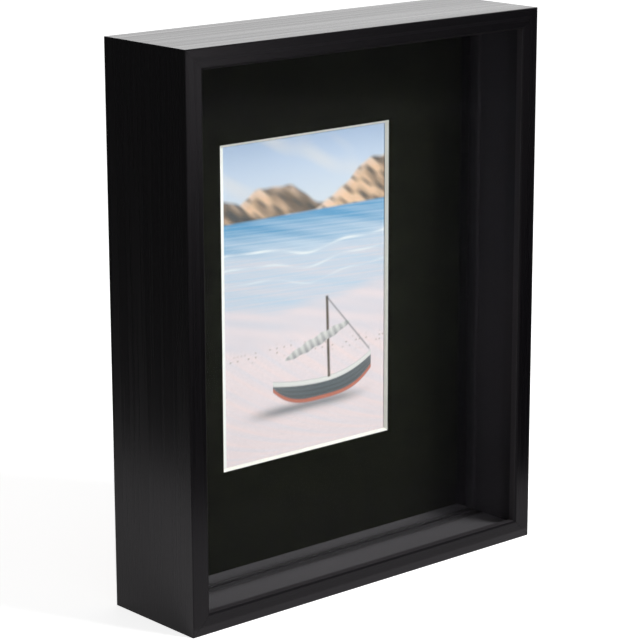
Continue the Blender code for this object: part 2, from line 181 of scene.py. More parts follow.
def length_setting(name, description, default_mm):
    return FloatProperty(name=name, description=description, default=default_mm * MM, unit="LENGTH")


def angle_setting(name, description, degrees):
    return FloatProperty(
        name=name, description=description, default=math.radians(degrees), subtype="ANGLE"
    )


def colour_setting(name, description, hex_colour):
    return FloatVectorProperty(
        name=name, description=description, default=linear(hex_colour), subtype="COLOR", min=0, max=1
    )


class ShadowBoxSizes(bpy.types.PropertyGroup):
    """Sizes of the pieces that are remade finer than their solids."""

    facing: length_setting("Facing", "Thickness of the mount's black paper facing", 0.25)
    lining: length_setting("Lining", "Thickness of the mount's back paper", 0.2)
    margins: FloatVectorProperty(
        name="Print margins",
        description="White left of, right of, below and above the printed picture",
        default=(2.3 * MM, 0.5 * MM, 0.2 * MM, 0.9 * MM),
        size=4,
        unit="LENGTH",
    )
    print_dot: length_setting("Print dot", "Distance between the print's colour points", 0.45)
    wire_sides: IntProperty(name="Wire sides", description="Facets round the hanger wire", default=16)
    turn_steps: IntProperty(name="Turn steps", description="Facets round a rivet", default=48)
    sheet_edge: length_setting("Sheet edge", "Radius left by the press on stamped steel edges", 0.2)


class ShadowBoxColours(bpy.types.PropertyGroup):
    """Colours of the finishes and of the printed seaside."""

    foil: colour_setting("Foil", "Black decor foil on the rails", "#080709")
    # The lip edge colour below is a painted highlight for the lip's inner face.
    lip_edge_painted_light: colour_setting("Lip edge", "Foil stretched pale on the lip's inner edge", "#2e2c2e")
    # The two strip colours below are one foil in two copies: the level one lighter, as painted light on the
    # floor of the box, the upright one darker, as painted shade on its walls.
    strip: colour_setting("Strip", "Dark foil on the level inner strips", "#595659")
    upright_strip_painted_shade: colour_setting("Upright strip", "Darker foil on the upright inner strips", "#2d2b2e")
    raw_board: colour_setting("Raw board", "Fibreboard where a saw has cut the foil", "#8a6b4d")
    facing: colour_setting("Facing", "Black paper facing of the mount", "#12130d")
    core: colour_setting("Core", "White core that the mount's bevel shows", "#f4f1ea")
    paper: colour_setting("Paper", "Unprinted photo paper", "#f6f6f4")
    card: colour_setting("Card", "Grey backing card", "#9b958a")
    hardboard: colour_setting("Hardboard", "Back board", "#7b5a3e")
    zinc: colour_setting("Zinc", "Zinc plating on the fittings", "#c2c5c9")
    sky: colour_setting("Sky", "Top of the sky", "#a9bfe0")
    haze: colour_setting("Haze", "Sky at the horizon", "#d0d8e4")
    cloud: colour_setting("Cloud", "Thin cloud", "#d7d8df")
    sea: colour_setting("Sea", "Deep water", "#5797c3")
    foam: colour_setting("Foam", "Foam along the shore", "#eceff2")
    shallows: colour_setting("Shallows", "Water over the sand", "#bbcde0")
    wet_sand: colour_setting("Wet sand", "Sand at the water's edge", "#d6d2dc")
    sand: colour_setting("Sand", "Dry sand", "#f4dfe0")
    dune: colour_setting("Dune", "Sunlit side of the headlands", "#efc7a6")
    crag: colour_setting("Crag", "Sunlit tops of the headlands", "#e7d4cb")
    scrub: colour_setting("Scrub", "Scrub and the headlands' shaded side", "#5d5147")
    hull: colour_setting("Hull", "Planks of the small boat", "#3b4145")
    strake: colour_setting("Strake", "Painted plank under the boat's rail", "#eae7e5")
    keel_band: colour_setting("Keel band", "Red paint along the boat's keel", "#c56f59")
    sail: colour_setting("Sail", "Cloth of the furled sail", "#dddad8")
    sail_fold: colour_setting("Sail fold", "Shade in the sail's folds", "#959397")
    backdrop: colour_setting("Backdrop", "White paper under the frame", "#ececec")


class ShadowBoxStage(bpy.types.PropertyGroup):
    """The camera and the light level."""

    lens: FloatProperty(
        name="Lens", description="Focal length", default=142.3 * MM, unit="CAMERA", min=0.01
    )
    yaw: angle_setting("Yaw", "How far the camera looks to the right", 41.23)
    pitch: angle_setting("Pitch", "How far the camera looks down", 14.20)
    roll: angle_setting("Roll", "How far the camera leans", -0.12)
    camera_at: FloatVectorProperty(
        name="Camera place",
        description="Where the camera stands",
        subtype="XYZ",
        default=(-0.7508, -0.84975, 0.4085),
    )
    key: FloatProperty(name="Key", description="Power of the front lamp", default=18.0, unit="POWER")
    rim: FloatProperty(name="Rim", description="Power of the lamp behind", default=2.8, unit="POWER")
    sky: FloatProperty(name="Sky", description="Light from all round", default=0.28, min=0)


def settings():
    return bpy.context.scene.shadow_box


# --- finishes ------------------------------------------------------------------------------------


def foil_print(tree, place, colour, along, roughness, streak):
    """What all the foils share: streaks, colour and gloss, as nodes.

    The print and the roller leave fine streaks along the board, 0.5 mm wide and some 60 mm long, so
    the gloss breaks into faint lines that run lengthwise. along is the axis that they follow.
    """
    fine, long = 1 / (0.5 * MM), 1 / (60 * MM)
    scale = (fine, fine, long) if along == "Z" else (long, fine, fine)
    stretched = add(tree, "Mapping", {"Vector": place, "Scale": scale})
    streaks = add(
        tree, "TexNoise", {"Vector": stretched, "Scale": 1.0, "Detail": 4.0, "Roughness": 0.6}
    )
    broad = add(tree, "TexNoise", {"Vector": stretched, "Scale": 0.22, "Detail": 2.0})
    level = add(tree, "MapRange", [streaks, 0.3, 0.7, 1 - streak, 1 + streak])
    toned = add(
        tree, "Mix", {0: 1.0, 6: opaque(colour), 7: level}, data_type="RGBA", blend_type="MULTIPLY"
    )
    gloss = add(tree, "MapRange", [broad, 0.3, 0.7, roughness - 0.05, roughness + 0.05])
    return streaks, toned, gloss


def satin_lacquer(tree, colour, roughness, streaks, relief):
    """The foil's lacquer, a satin gloss with a faint violet cast that follows the streaks' relief."""
    bump = add(tree, "Bump", {"Height": streaks, "Strength": relief, "Distance": 0.02 * MM})
    shader = add(
        tree,
        "BsdfPrincipled",
        {
            "Base Color": colour,
            "Roughness": roughness,
            "IOR": 1.5,
            "Normal": bump,
            "Specular IOR Level": 0.3,
            "Specular Tint": (1.0, 0.93, 1.0, 1),
        },
    )
    add(tree, "OutputMaterial", [shader])


def rail_foil(name, along, streak):
    """Paper decor foil, printed black and lacquered satin, glued round fibreboard.

    It gives a black satin with faint lines along the rail. On the lip's narrow inner face the colour is
    paler, a painted highlight, and round that edge the gloss is dull. The sawn groove for the turn
    buttons shows the bare fibreboard.
    """
    colours = settings().colours
    material, tree, place = new_material(name)
    streaks, toned, gloss = foil_print(tree, place, colours.foil, along, 0.27, streak)
    axes = add(tree, "SeparateXYZ", [place]).outputs
    # Across the rail, each mask takes in what lies within its reach of the frame's middle.
    if along == "Z":
        across, middle, half = axes["X"], 0, HALF_WIDTH
    else:
        across, middle, half = axes["Z"], HALF_HEIGHT, HALF_HEIGHT
    to_edge = half - LIP_INNER_EDGE + FACE_MARGIN
    edge = add(tree, "Math", [across, middle, to_edge], operation="COMPARE")
    chamfer = add(tree, "Math", [across, middle, to_edge + LIP_CHAMFER], operation="COMPARE")
    in_wall = add(tree, "Math", [across, middle, half - 1 * MM], operation="COMPARE")
    in_groove = add(tree, "Math", [axes["Y"], GROOVE_AT, GROOVE_HALF], operation="COMPARE")
    sawn = add(tree, "Math", [in_groove, in_wall], operation="MULTIPLY")
    fibres = add(
        tree, "TexNoise", {"Vector": place, "Scale": 1 / (0.6 * MM), "Detail": 3.0, "Roughness": 0.7}
    )
    dark, light = opaque(colours.raw_board, 0.55), opaque(colours.raw_board, 1.35)
    bare = add(tree, "Mix", {0: fibres, 6: dark, 7: light}, data_type="RGBA")
    # Painted highlight: the lip's inner face takes the paler lip edge colour.
    wrapped = add(tree, "Mix", {0: edge, 6: toned, 7: opaque(colours.lip_edge_painted_light)}, data_type="RGBA")
    shown = add(tree, "Mix", {0: sawn, 6: wrapped, 7: bare}, data_type="RGBA")
    for mask, duller in ((sawn, 0.55), (chamfer, 0.5)):
        gloss = add(tree, "Math", [mask, duller, gloss], operation="MULTIPLY_ADD", use_clamp=True)
    satin_lacquer(tree, shown, gloss, streaks, 0.10)
    return material


def strip_foil(name, colour, along, shade, line):
    """The same foil on the thin strips that line the box, in a lighter print.

    It darkens softly, a painted shade: on level strips towards the joint of the two sets, on upright ones
    from there back to the mount. shade is how far. Where the two sets meet, the chamfers are dull, and
    darker by line, so they catch no glint.
    """
    material, tree, place = new_material(name)
    streaks, toned, gloss = foil_print(tree, place, colour, along, 0.22, 0.05)
    depth = add(tree, "SeparateXYZ", [place]).outputs["Y"]
    # Painted shade: a soft dark band a little before the joint on level strips, and on upright strips a
    # ramp that darkens towards the mount.
    if along == "X":
        darkest = STRIP_JOINT - 0.8 * MM
        full, none = 2.5 * MM, 8.5 * MM
        away = add(tree, "Math", [depth, darkest], operation="SUBTRACT")
        away = add(tree, "Math", [away], operation="ABSOLUTE")
        painted_shade = add(
            tree, "MapRange", [away, full, none, shade, 0.0], interpolation_type="SMOOTHSTEP"
        )
    else:
        none, full = 3 * MM, 14.5 * MM
        painted_shade = add(tree, "MapRange", [depth, none, full, 0.0, shade])
    chamfer = add(tree, "Math", [depth, STRIP_JOINT, 1 * MM], operation="COMPARE")
    painted_shade = add(tree, "Math", [chamfer, line, painted_shade], operation="MULTIPLY_ADD", use_clamp=True)
    shown = add(tree, "Mix", {0: painted_shade, 6: toned, 7: opaque(colour, 0.12)}, data_type="RGBA")
    gloss = add(tree, "Math", [chamfer, 0.7, gloss], operation="MULTIPLY_ADD", use_clamp=True)
    satin_lacquer(tree, shown, gloss, streaks, 0.04)
    return material


def paper_board(name, colour, fleck, roughness=0.92, relief=0.1, shine=0.12):
    """Uncoated paper or card, pressed from pulp.

    It gives hardly any gloss, a faint cloudiness some 9 mm across and flecks about 1.4 mm wide with
    finer ones among them, coarser than real fibres so that they show. fleck is how far they stray
    from the colour.
    """
    material, tree, place = new_material(name)
    clouds = add(tree, "TexNoise", {"Vector": place, "Scale": 1 / (9 * MM), "Detail": 2.0})
    fibres = add(
        tree, "TexNoise", {"Vector": place, "Scale": 1 / (1.4 * MM), "Detail": 5.0, "Roughness": 0.75}
    )
    both = add(tree, "Math", [clouds, 0.35, fibres], operation="MULTIPLY_ADD")
    level = add(tree, "MapRange", [both, 0.55, 0.8, 1 - fleck, 1 + fleck])
    toned = add(
        tree, "Mix", {0: 1.0, 6: opaque(colour), 7: level}, data_type="RGBA", blend_type="MULTIPLY"
    )
    bump = add(tree, "Bump", {"Height": fibres, "Strength": relief, "Distance": 0.03 * MM})
    paper = {"Base Color": toned, "Roughness": roughness, "IOR": 1.45, "Normal": bump}
    shader = add(tree, "BsdfPrincipled", {**paper, "Specular IOR Level": shine})
    add(tree, "OutputMaterial", [shader])
    return material


def hardboard(name, colour):
    """Hardboard, hot-pressed from wood fibre against a smooth plate.

    The face is brown and slightly shiny, mottled over 15 mm, with short darker fibres about 1.2 mm
    wide and 4 mm long, drawn wider than real so that they show.
    """
    material, tree, place = new_material(name)
    mottle = add(tree, "TexNoise", {"Vector": place, "Scale": 1 / (15 * MM), "Detail": 3.0})
    wide, long = 1 / (1.2 * MM), 1 / (4 * MM)
    laid = add(
        tree, "Mapping", {"Vector": place, "Scale": (wide, wide, long), "Rotation": (0, 0.5, 0)}
    )
    fibres = add(
        tree,
        "TexNoise",
        {"Vector": laid, "Scale": 1.0, "Detail": 6.0, "Roughness": 0.7, "Distortion": 0.6},
    )
    both = add(tree, "Math", [mottle, 0.6, fibres], operation="MULTIPLY_ADD")
    level = add(tree, "MapRange", [both, 0.55, 1.05, 0.55, 1.35])
    toned = add(
        tree, "Mix", {0: 1.0, 6: opaque(colour), 7: level}, data_type="RGBA", blend_type="MULTIPLY"
    )
    bump = add(tree, "Bump", {"Height": fibres, "Strength": 0.25, "Distance": 0.05 * MM})
    shader = add(
        tree, "BsdfPrincipled", {"Base Color": toned, "Roughness": 0.55, "IOR": 1.5, "Normal": bump}
    )
    add(tree, "OutputMaterial", [shader])
    return material


def zinc_plate(name, colour):
    """Mild steel, stamped or drawn, then bright zinc plated and passivated.

    The plating keeps a soft grey mirror with a faint bluish and straw-coloured cloudiness some 3 mm
    across and fine rolling marks 0.15 mm apart, drawn coarser than real so that they show.
    """
    material, tree, place = new_material(name)
    clouds = add(tree, "TexNoise", {"Vector": place, "Scale": 1 / (3 * MM), "Detail": 2.0})
    spacing = (1 / (6 * MM), 1 / (0.15 * MM), 1 / (0.3 * MM))
    rolled = add(tree, "Mapping", {"Vector": place, "Scale": spacing})
    marks = add(tree, "TexNoise", {"Vector": rolled, "Scale": 1.0, "Detail": 3.0})
    bluish, straw = (np.array(colour) * tint for tint in ((0.86, 0.92, 1.0), (1.12, 1.08, 0.96)))
    tint = add(tree, "Mix", {0: clouds, 6: opaque(bluish), 7: opaque(straw)}, data_type="RGBA")
    gloss = add(tree, "MapRange", [marks, 0.3, 0.7, 0.24, 0.42])
    bump = add(tree, "Bump", {"Height": marks, "Strength": 0.15, "Distance": 0.02 * MM})
    shader = add(
        tree,
        "BsdfPrincipled",
        {"Base Color": tint, "Metallic": 1.0, "Roughness": gloss, "Normal": bump},
    )
    add(tree, "OutputMaterial", [shader])
    return material


def float_glass(name):
    """Picture glass: float glass with a thin anti-reflection coat and ground edges.

    It shows what is behind it with hardly any veil, and a touch of smear some 25 mm across.
    """
    material, tree, place = new_material(name)
    smear = add(tree, "TexNoise", {"Vector": place, "Scale": 1 / (25 * MM), "Detail": 3.0})
    gloss = add(tree, "MapRange", [smear, 0.4, 0.7, 0.0, 0.03])
    bent = add(
        tree, "BsdfRefraction", {"Color": (0.985, 0.995, 0.99, 1), "Roughness": 0.0, "IOR": 1.5}
    )
    mirror = add(tree, "BsdfAnisotropic", {"Color": (0.9, 0.85, 1.0, 1), "Roughness": gloss})
    pane = add(tree, "MixShader", [0.002, bent, mirror])
    through = add(tree, "BsdfTransparent", [(0.97, 0.98, 0.975, 1)])
    path = add(tree, "LightPath").outputs
    # Lamp light and light scattered inside the box go straight through, so neither counts twice.
    lit = add(tree, "MixShader", [path["Is Shadow Ray"], pane, through])
    mixed = add(tree, "MixShader", [path["Is Diffuse Ray"], lit, through])
    add(tree, "OutputMaterial", [mixed])
    return material


def photo_paper(name):
    """Resin-coated photo paper with a satin face. Its dyes are carried as a colour on each point.

    The satin is a fine pebble some 0.5 mm across, which softens the gloss.
    """
    material, tree, place = new_material(name)
    dyes = add(tree, "VertexColor", layer_name="Dyes")
    satin = add(tree, "TexNoise", {"Vector": place, "Scale": 1 / (0.5 * MM), "Detail": 2.0})
    bump = add(tree, "Bump", {"Height": satin, "Strength": 0.06, "Distance": 0.01 * MM})
    paper = {"Base Color": dyes, "Roughness": 0.25, "IOR": 1.5, "Normal": bump}
    shader = add(tree, "BsdfPrincipled", {**paper, "Specular IOR Level": 0.35})
    add(tree, "OutputMaterial", [shader])
    return material


# --- the printed picture -------------------------------------------------------------------------


def blend(under, over, share):
    """Lays one colour over another. share is how much of the upper one shows at each point."""
    return under + (np.asarray(over) - under) * np.clip(share, 0, 1)[..., None]


def waves(x, y, *terms):
    """A sum of sines. Each term holds cycles per unit of x and of y, a phase and a size."""
    return sum(size * np.sin(2 * np.pi * (x * fx + y * fy) + phase) for fx, fy, phase, size in terms)


def speckle(x, y):
    """A number from 0 to 1 that jumps from point to point: the far digits of a steep sine."""
    return np.abs(np.sin(x * 12989.8 + y * 78233.1) * 43758.5453) % 1.0


def above(edge, y, softness):
    """1 above a line and 0 below it, with a soft step between."""
    return np.clip((y - edge) / softness + 0.5, 0, 1)


def below(edge, y, softness):
    """1 below a line and 0 above it, with a soft step between."""
    return 1 - above(edge, y, softness)


def seaside(x, y, width, height, colours):
    """The picture: a still shore under low headlands, with a small boat drawn up on the sand.

    x and y run from the picture's lower left corner, and w and h are shares of its width. Each layer
    covers the one behind it below its own wavy edge. The far layers have soft edges, as a lens that is
    focused on the boat leaves them.
    """
    colour = {name: np.array(getattr(colours, name)) for name in ShadowBoxColours.__annotations__}
    w, h = x / width, y / width
    picture = sky_and_headlands(w, h, height / width, colour)
    picture = sea_and_wet_sand(picture, w, h, colour)
    picture = dry_sand(picture, w, h, speckle(x, y), colour)
    picture = boat_hull(picture, w, h, colour)
    return np.clip(boat_rig(picture, w, h, colour), 0, 1)


def sky_and_headlands(w, h, top, colour):
    """Sky, paler towards the horizon, with thin cloud, and the headlands that stand before it.

    Each headland is a bell-shaped rise, warm rock on its left flank and cool shade on its right.
    """
    picture = blend(colour["haze"], colour["sky"], (h - top * 0.80) / (top * 0.22))
    cloud = waves(w, h, (1.3, 3.1, 0.4, 0.5), (2.9, 7.3, 2.0, 0.3), (5.1, 4.7, 4.1, 0.2))
    picture = blend(picture, colour["cloud"], np.clip(cloud, 0, 1) * 0.8)
    foot = 1.155  # just below the horizon, so the sea covers it
    headlands = ((0.30, 0.155, 0.34, 0.0), (1.02, 0.225, 0.42, 0.35), (-0.04, 0.120, 0.26, 0.5))
    for centre, crest, spread, dark in headlands:
        rise = crest * np.exp(-np.abs((w - centre) / spread) ** 2.6 * 2.0)
        ridge = foot + rise + waves(w, h, (4.3, 0, centre * 9, 0.006), (9.7, 0, 2.0, 0.003))
        broken = waves(w, h, (5, 9, 1, 0.5), (11, 6, 3, 0.3))
        lit = 0.5 - 0.5 * np.tanh((w - centre + 0.04) / spread * 2.0 + broken)
        rock = blend(colour["scrub"], colour["dune"], lit)
        rock = blend(rock, colour["crag"], np.clip((h - ridge + 0.05) / 0.05, 0, 1) * lit * 0.7)
        folds = waves(w, h, (6, 15, centre * 7, 0.6), (15, 11, 1.3, 0.4))
        rock = blend(rock, colour["hull"] * 0.8, np.clip(folds * 0.6 + dark * (1 - lit), 0, 0.85))
        picture = blend(picture, rock, below(ridge, h, 0.022))
    return picture


def sea_and_wet_sand(picture, w, h, colour):
    """The sea under its straight horizon, then shallows, three lines of foam and wet sand.

    Darker patches and pale ripples cross it all.
    """
    ripples = waves(w, h, (3, 61, 0, 0.5), (7, 97, 1.7, 0.3), (2, 37, 3.1, 0.4))
    patches = waves(w, h, (1.7, 9, 2.6, 0.6), (3.9, 15, 0.4, 0.4))
    shoaling = (1.175 - h) / 0.20 + 0.16 * ripples + 0.22 * patches
    sea = blend(colour["sea"], colour["shallows"], shoaling)
    horizon = 1.165
    picture = blend(picture, sea, below(horizon, h, 0.014))
    shore = 0.985 + waves(w, h, (1.1, 0, 0.6, 0.018), (2.7, 0, 2.2, 0.008))
    wash = blend(colour["shallows"], colour["wet_sand"], 0.45 + 0.35 * ripples + 0.25 * patches)
    picture = blend(picture, wash, below(shore, h, 0.07))
    for offset, spread, strength in ((0.010, 0.007, 0.9), (-0.060, 0.006, 0.6), (-0.135, 0.005, 0.45)):
        broken = 0.6 + 0.4 * np.sin(w * 23 + offset * 300)
        foam = np.exp(-(((h - shore - offset - 0.01 * np.sin(w * 9 + offset * 90)) / spread) ** 2))
        picture = blend(picture, colour["foam"], foam * strength * broken)
    tide = 0.735 + waves(w, h, (0.9, 0, 2.4, 0.022), (2.3, 0, 0.3, 0.008))
    wet = blend(colour["wet_sand"], colour["sand"], 0.30 + 0.25 * patches)
    return blend(picture, wet, below(tide, h, 0.05))


def dry_sand(picture, w, h, grain, colour):
    """Sand with hollows that shrink with distance, grains, and a line of pebbles at the tide mark.

    Each pebble is a soft spot in a square cell, and only some cells have one.
    """
    far = np.clip(h / 0.6, 0.05, 1)
    hollows = waves(w, h / np.sqrt(far), (4.1, 13, 0.5, 0.5), (8.9, 23, 2.6, 0.35), (19, 47, 4.0, 0.25))
    sand = blend(colour["sand"], colour["wet_sand"], 0.35 + 0.30 * hollows)
    sand = sand * (1 + 0.10 * (grain[..., None] - 0.5) + 0.030 * hollows[..., None])
    picture = blend(picture, sand, below(0.56 + waves(w, h, (1.2, 0, 4.2, 0.02)), h, 0.14))
    tide_mark = np.exp(-(((h - 0.50 - 0.02 * np.sin(w * 5)) / 0.030) ** 2))
    cell = 1 / 46
    jumble = speckle(np.floor(w / cell) * 0.0137, np.floor(h / cell) * 0.0291)
    local_w, local_h = (w / cell) % 1 - 0.5, (h / cell) % 1 - 0.5
    spot = np.clip(1.2 - np.hypot(local_w, local_h * 1.5) / 0.30, 0, 1)
    pebbles = (jumble > 0.72) * spot * tide_mark
    return blend(picture, colour["scrub"] * (0.8 + 2.0 * jumble[..., None]), pebbles * 0.85)


BOAT_SOFT = 0.022  # how soft the boat's edges are


def boat_place(w, h):
    """Places across the boat: u from -1 at the stern to 1 at the bow, v upwards, and the rail's v there."""
    u, v = (w - 0.60) / 0.31, (h - 0.235) / 0.31
    return u, v, 0.34 + 0.26 * np.clip(u, 0, None) ** 2.2 + 0.10 * np.clip(-u, 0, None) ** 2


def boat_hull(picture, w, h, colour):
    """The hull between two curves over u, its keel and its rail, and its shadow on the sand.

    Planks follow the height between the curves. A pale strake runs under the rail, and a red band
    along the keel.
    """
    u, v, rail = boat_place(w, h)
    keel = 0.30 * np.abs(u) ** 3.2 + 0.02 * u
    cast = np.exp(-np.abs((u + 0.30) / 1.05) ** 5) * np.exp(-(((v + 0.045) / 0.085) ** 2))
    picture = blend(picture, colour["hull"] * 2.4, cast * 0.75)
    inside = np.clip(1 - np.abs(u), 0, 1) ** 0.02 * (np.abs(u) < 1)
    body = above(keel, v, BOAT_SOFT) * below(rail, v, BOAT_SOFT) * inside
    share = (v - keel) / np.maximum(rail - keel, 0.05)
    planks = 0.5 + 0.5 * np.cos(share * 2 * np.pi * 5)
    tone = blend(colour["hull"], colour["hull"] * 3.0, 0.10 + 0.30 * planks + 0.25 * share)
    picture = blend(picture, tone, body)
    strake = above(rail - 0.075, v, BOAT_SOFT) * below(rail, v, BOAT_SOFT) * inside
    picture = blend(picture, colour["strake"], strake * 0.95)
    band = above(keel, v, BOAT_SOFT) * below(keel + 0.055, v, BOAT_SOFT) * inside
    return blend(picture, colour["keel_band"], band * 0.9)


def boat_rig(picture, w, h, colour):
    """A mast with a furled sail on its yard, and a stay from the masthead to the bow."""
    u, v, rail = boat_place(w, h)
    lean = u - 0.14 + 0.03 * v
    mast = np.clip((0.026 - np.abs(lean)) / BOAT_SOFT + 0.5, 0, 1)
    mast = mast * above(rail - 0.02, v, BOAT_SOFT) * below(1.62, v, BOAT_SOFT)
    picture = blend(picture, colour["scrub"] * 0.9, mast)
    along = u + 0.10
    yard = 0.98 + 0.30 * along
    bulge = 0.085 * np.sqrt(np.clip(1 - (along / 0.66) ** 2, 0, 1)) * (1 + 0.12 * np.sin(along * 23))
    sail = np.clip((bulge - np.abs(v - yard + 0.04)) / BOAT_SOFT + 0.5, 0, 1) * (np.abs(along) < 0.66)
    folds = 0.5 + 0.5 * np.sin(along * 46 + v * 22)
    shade = folds * 0.55 + np.clip((yard - v) * 4, 0, 0.4)
    picture = blend(picture, blend(colour["sail"], colour["sail_fold"], shade), sail)
    stay = (v - 1.60) - (u - 0.09) * (0.62 - 1.60) / (0.98 - 0.09)
    rope = np.clip((0.012 - np.abs(stay) * 0.67) / BOAT_SOFT + 0.5, 0, 1) * (u > 0.10) * (u < 0.98)
    return blend(picture, colour["hull"] * 1.5, rope * 0.7)


# --- pieces --------------------------------------------------------------------------------------


def tube_faces(points, rows, count, closed=False):
    """The faces of a tube whose rows of points run round it, with flat ends unless it is closed."""
    wall = grid_faces(rows, count, wrap_rows=closed, wrap_columns=True)
    turned = face_outwards(points, wall)
    if closed:
        return [turned]
    same = np.array_equal(turned, wall)
    first, last = np.arange(count), np.arange(count) + count * (rows - 1)
    return [turned, [first if same else first[::-1]], [last[::-1] if same else last]]


def carried_tube(name, path, up, section, steel, closed, smooth_angle):
    """A section carried along a flat path that lies square to the axis up.

    Each point is the path's point, plus the section's first number across the path there, plus its
    second along up. The way across comes from the point's neighbours.
    """
    run = np.roll(path, -1, axis=0) - np.roll(path, 1, axis=0) if closed else np.gradient(path, axis=0)
    run = run / np.linalg.norm(run, axis=1, keepdims=True)
    across = np.stack([run[:, 1], -run[:, 0]], axis=1)
    flat = path[:, None, :] + across[:, None, :] * section[None, :, 0, None]
    lift = np.broadcast_to(section[:, 1], flat.shape[:2])
    first, second = flat[..., 0], flat[..., 1]
    points = np.stack([first, lift, second] if up == "Y" else [first, second, lift], axis=-1)
    points = points.reshape(-1, 3)
    faces = tube_faces(points, len(path), len(section), closed)
    return new_piece(name, points, faces, [steel], smooth_angle)


def rounded_section(width, thickness, radius, steps=4):
    """A rounded rectangle's outline, as (across, up) points."""
    a, b = width / 2 - radius, thickness / 2 - radius
    corners = [
        arc((sx * a, sy * b), radius, start, start + 90, steps)
        for sx, sy, start in ((1, 1, 0), (-1, 1, 90), (-1, -1, 180), (1, -1, 270))
    ]
    return np.concatenate(corners)


def place_with(piece, matrix):
    """Moves a mesh's points by a matrix, so the object itself stays at the origin."""
    piece.data.transform(matrix)
    if matrix.to_3x3().determinant() < 0:
        piece.data.flip_normals()


def joined(name, pieces):
    """One object from several, for loose shells that make one part."""
    with bpy.context.temp_override(
        active_object=pieces[0], selected_editable_objects=pieces, selected_objects=pieces
    ):
        bpy.ops.object.join()
    pieces[0].name = name
    return pieces[0]


def dress(nodes, material):
    """Gives CAD nodes a finish in place of their plain one."""
    for node in nodes:
        mesh = frame["nodes"][node].data
        mesh.materials.clear()
        mesh.materials.append(material)


class SHADOWBOX_OT_rails(bpy.types.Operator):
    """Foil the rails along their length, with bare board in the sawn groove"""

    bl_idname = "shadow_box.rails"
    bl_label = "Rails"

    def execute(self, context):
        dress(["rail_left", "rail_right"], rail_foil("foil_wrapped_board_upright", "Z", streak=0.16))
        dress(["rail_top", "rail_bottom"], rail_foil("foil_wrapped_board_level", "X", streak=0.22))
        return {"FINISHED"}


class SHADOWBOX_OT_strips(bpy.types.Operator):
    """Foil the spacer and fillet strips that line the box"""

    bl_idname = "shadow_box.strips"
    bl_label = "Inner strips"

    def execute(self, context):
        colours = settings().colours
        # One foil in two copies: the level strips' lighter colour is painted light, the upright strips'
        # darker colour painted shade.
        level = strip_foil("foil_wrapped_strip_level", colours.strip, "X", shade=0.65, line=0.5)
        darker = colours.upright_strip_painted_shade
        upright = strip_foil("foil_wrapped_strip_upright", darker, "Z", shade=1.0, line=0.2)
        for strips in ("spacer", "fillet"):
            dress([f"{strips}_left", f"{strips}_right"], upright)
            dress([f"{strips}_top", f"{strips}_bottom"], level)
        return {"FINISHED"}


class SHADOWBOX_OT_glass(bpy.types.Operator):
    """Give the pane its glass"""

    bl_idname = "shadow_box.glass"
    bl_label = "Glass"

    def execute(self, context):
        dress(["glass_pane"], float_glass("coated_picture_glass"))
        return {"FINISHED"}


class SHADOWBOX_OT_mount(bpy.types.Operator):
    """Build the mount board in its three plies, with the bevel cut through them"""

    bl_idname = "shadow_box.mount"
    bl_label = "Mount board"

    def execute(self, context):
        sizes, colours = settings().sizes, settings().colours
        low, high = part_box("mount_board")
        thickness = high.y - low.y
        facing = paper_board(
            "black_mount_paper", colours.facing, fleck=0.75, roughness=0.9, relief=0.08, shine=0.05
        )
        core = paper_board("white_pulp_core", colours.core, fleck=0.03)
        lining = paper_board("mount_back_paper", colours.core, fleck=0.05)
        plies = (
            ("mount_facing", 0, sizes.facing, facing),
            ("mount_core", sizes.facing + PLY_GAP, thickness - sizes.lining - PLY_GAP, core),
            ("mount_lining", thickness - sizes.lining, thickness, lining),
        )
        for name, front, back, finish in plies:
            ply = self.ply(name, front, back, finish)
            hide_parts("mount_board")
            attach(ply, "frame")
        return {"FINISHED"}

    def ply(self, name, front, back, finish):
        """One ply, from one depth in the board to another: a ring of four sides.

        Its outer edge follows the board, and its window the print. The knife leans at 45 degrees, so
        the window narrows by as much as it goes back.
        """
        low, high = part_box("mount_board")
        print_low, print_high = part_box("photo_print")
        middle, half = (print_low + print_high) / 2, (print_high - print_low) / 2
        points = []
        for sx, sz in ((-1, -1), (1, -1), (1, 1), (-1, 1)):
            edge_x, edge_z = high.x if sx > 0 else low.x, high.z if sz > 0 else low.z
            window = []
            for depth in (front, back):
                wider = high.y - low.y - depth
                x = middle.x + sx * (half.x + wider - SIDE_LAP)
                z = middle.z + sz * (half.z + wider - END_LAP)
                window.append((x, low.y + depth, z))
            points += [(edge_x, low.y + front, edge_z), *window, (edge_x, low.y + back, edge_z)]
        points = np.array(points)
        return new_piece(name, points, tube_faces(points, 4, 4, closed=True), [finish])


